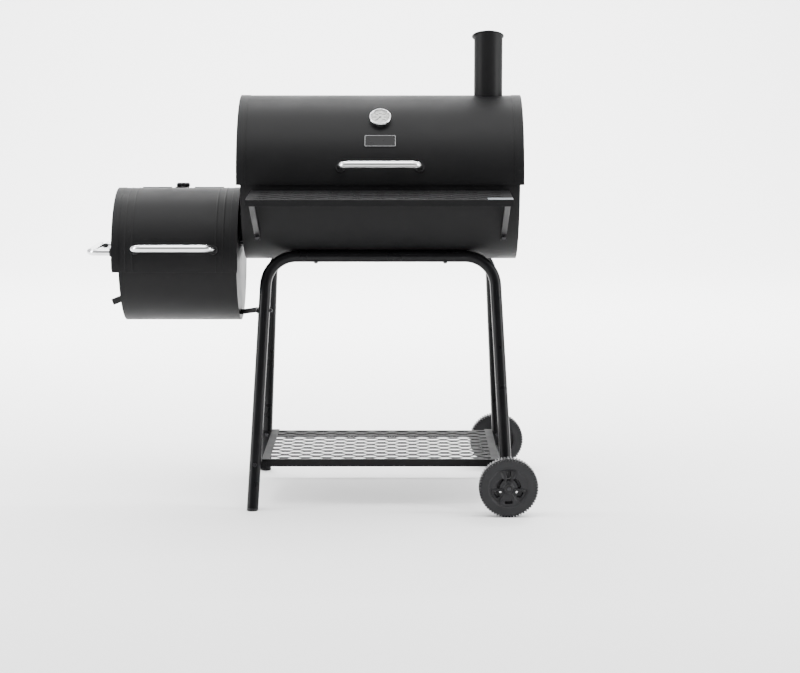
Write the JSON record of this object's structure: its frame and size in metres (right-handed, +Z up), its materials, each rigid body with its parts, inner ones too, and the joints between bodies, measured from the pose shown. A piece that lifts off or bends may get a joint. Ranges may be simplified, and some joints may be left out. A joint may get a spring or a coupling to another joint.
{
  "type": "barrel charcoal grill",
  "caption": "Barrel charcoal grill with an offset firebox, hinged lids, chimney, thermometer, front shelf and wheeled tube stand.",
  "frame": {"origin": "on the ground under the centre of the overall box of the closed grill", "axes": "+X runs along the barrel from the firebox to the chimney end, +Y points to the rear, +Z is up"},
  "size_m": [1.2546, 0.8188, 1.3132],
  "materials": {
    "black_enamel": "satin black heat-proof enamel",
    "stand_enamel": "semi-gloss black powder coat",
    "shelf_enamel": "satin black enamel, pierced",
    "handle_chrome": "polished chrome plate",
    "zinc": "black-zinc plated steel",
    "black_plastic": "matte black plastic",
    "wheel_plastic": "moulded black plastic",
    "grate_wire": "plated wire",
    "pan_steel": "dark heat-proof enamel",
    "gauge_steel": "bright stainless steel",
    "dial_paint": "white printed dial",
    "needle_paint": "red paint",
    "gauge_glass": "clear glass",
    "plate_metal": "satin aluminium, blank",
    "label_metal": "light grey printed plate, blank"
  },
  "bodies": {
    "stand": {"barrel_shell": "black_enamel", "barrel_end_left": "black_enamel", "barrel_end_right": "black_enamel", "leg_front_left": "stand_enamel", "leg_rear_left": "stand_enamel", "leg_front_right": "stand_enamel", "leg_rear_right": "stand_enamel", "rail_sleeves": "stand_enamel", "foot_plugs": "black_plastic", "axle": "zinc", "axle_caps": "black_plastic", "lower_shelf": "shelf_enamel", "shelf_end_frames": "stand_enamel", "front_shelf": "shelf_enamel", "front_shelf_arms": "black_enamel", "shelf_label_plate": "label_metal", "shelf_bolts": "zinc", "stand_bolts": "zinc", "cooking_grates": "grate_wire", "firebox_grate": "grate_wire", "grate_ledges": "black_enamel", "warming_rack": "grate_wire", "pan_posts": "black_enamel", "firebox_shell": "black_enamel", "firebox_end_left": "black_enamel", "firebox_end_right": "black_enamel", "firebox_collar": "black_enamel", "firebox_strut": "black_enamel", "firebox_bolts": "zinc", "side_handle": "handle_chrome", "side_handle_spacers": "black_plastic", "hinge_body_leaves": "black_enamel", "hinge_pins": "zinc"},
    "main_lid": {"lid_shell": "black_enamel", "lid_end_left": "black_enamel", "lid_end_right": "black_enamel", "lid_hinge_leaves": "black_enamel", "lid_handle": "handle_chrome", "lid_handle_spacers": "black_plastic", "lid_bolts": "zinc", "thermometer_body": "gauge_steel", "thermometer_dial": "dial_paint", "thermometer_glass": "gauge_glass", "thermometer_bezel": "gauge_steel", "name_plate": "plate_metal", "chimney_pipe": "black_enamel", "chimney_flange": "black_enamel"},
    "chimney_cap": {"chimney_cap": "black_enamel"},
    "gauge_needle": {"thermometer_needle": "needle_paint"},
    "firebox_hood": {"firebox_hood": "black_enamel", "hood_end_bands": "black_enamel", "hood_hinge_leaf": "black_enamel", "hood_handle": "handle_chrome", "hood_handle_spacers": "black_plastic", "hood_handle_screws": "zinc"},
    "damper": {"damper_shutter": "black_enamel", "damper_grip": "black_plastic"},
    "charcoal_pan": {"charcoal_pan": "pan_steel"},
    "wheel_front": {"wheel_front": "wheel_plastic"},
    "wheel_rear": {"wheel_rear": "wheel_plastic"}
  },
  "joints": [
    {"name": "main_lid_hinge", "type": "hinge", "parent": "stand", "child": "main_lid", "pos_m": [0.19768, 0.28707, 0.901], "axis": [-1, 0, 0], "range_deg": [0, 95]},
    {"name": "firebox_hood_hinge", "type": "hinge", "parent": "stand", "child": "firebox_hood", "pos_m": [-0.37032, 0.11439, 0.87532], "axis": [-1, 0, 0], "range_deg": [0, 115]},
    {"name": "damper_pivot", "type": "hinge", "parent": "stand", "child": "damper", "pos_m": [-0.52622, 0.04057, 0.583], "axis": [-1, 0, 0], "range_deg": [0, 60]},
    {"name": "chimney_cap_pivot", "type": "hinge", "parent": "main_lid", "child": "chimney_cap", "pos_m": [0.49968, 0.01285, 1.30553], "axis": [0, 0.342, 0.9397], "range_deg": [-120, 120]},
    {"name": "gauge_needle_pivot", "type": "hinge", "parent": "main_lid", "child": "gauge_needle", "pos_m": [0.19768, -0.12823, 1.0758], "axis": [0, 0.6947, -0.7193], "range_deg": [0, 270]},
    {"name": "charcoal_pan_lift", "type": "slide", "parent": "stand", "child": "charcoal_pan", "axis": [0, 0, 1], "range_m": [0, 0.05]},
    {"name": "wheel_front_spin", "type": "hinge", "parent": "stand", "child": "wheel_front", "pos_m": [0.54632, -0.30179, 0.081], "axis": [0, 1, 0], "continuous": true},
    {"name": "wheel_rear_spin", "type": "hinge", "parent": "stand", "child": "wheel_rear", "pos_m": [0.54632, 0.38293, 0.081], "axis": [0, 1, 0], "continuous": true}
  ]
}
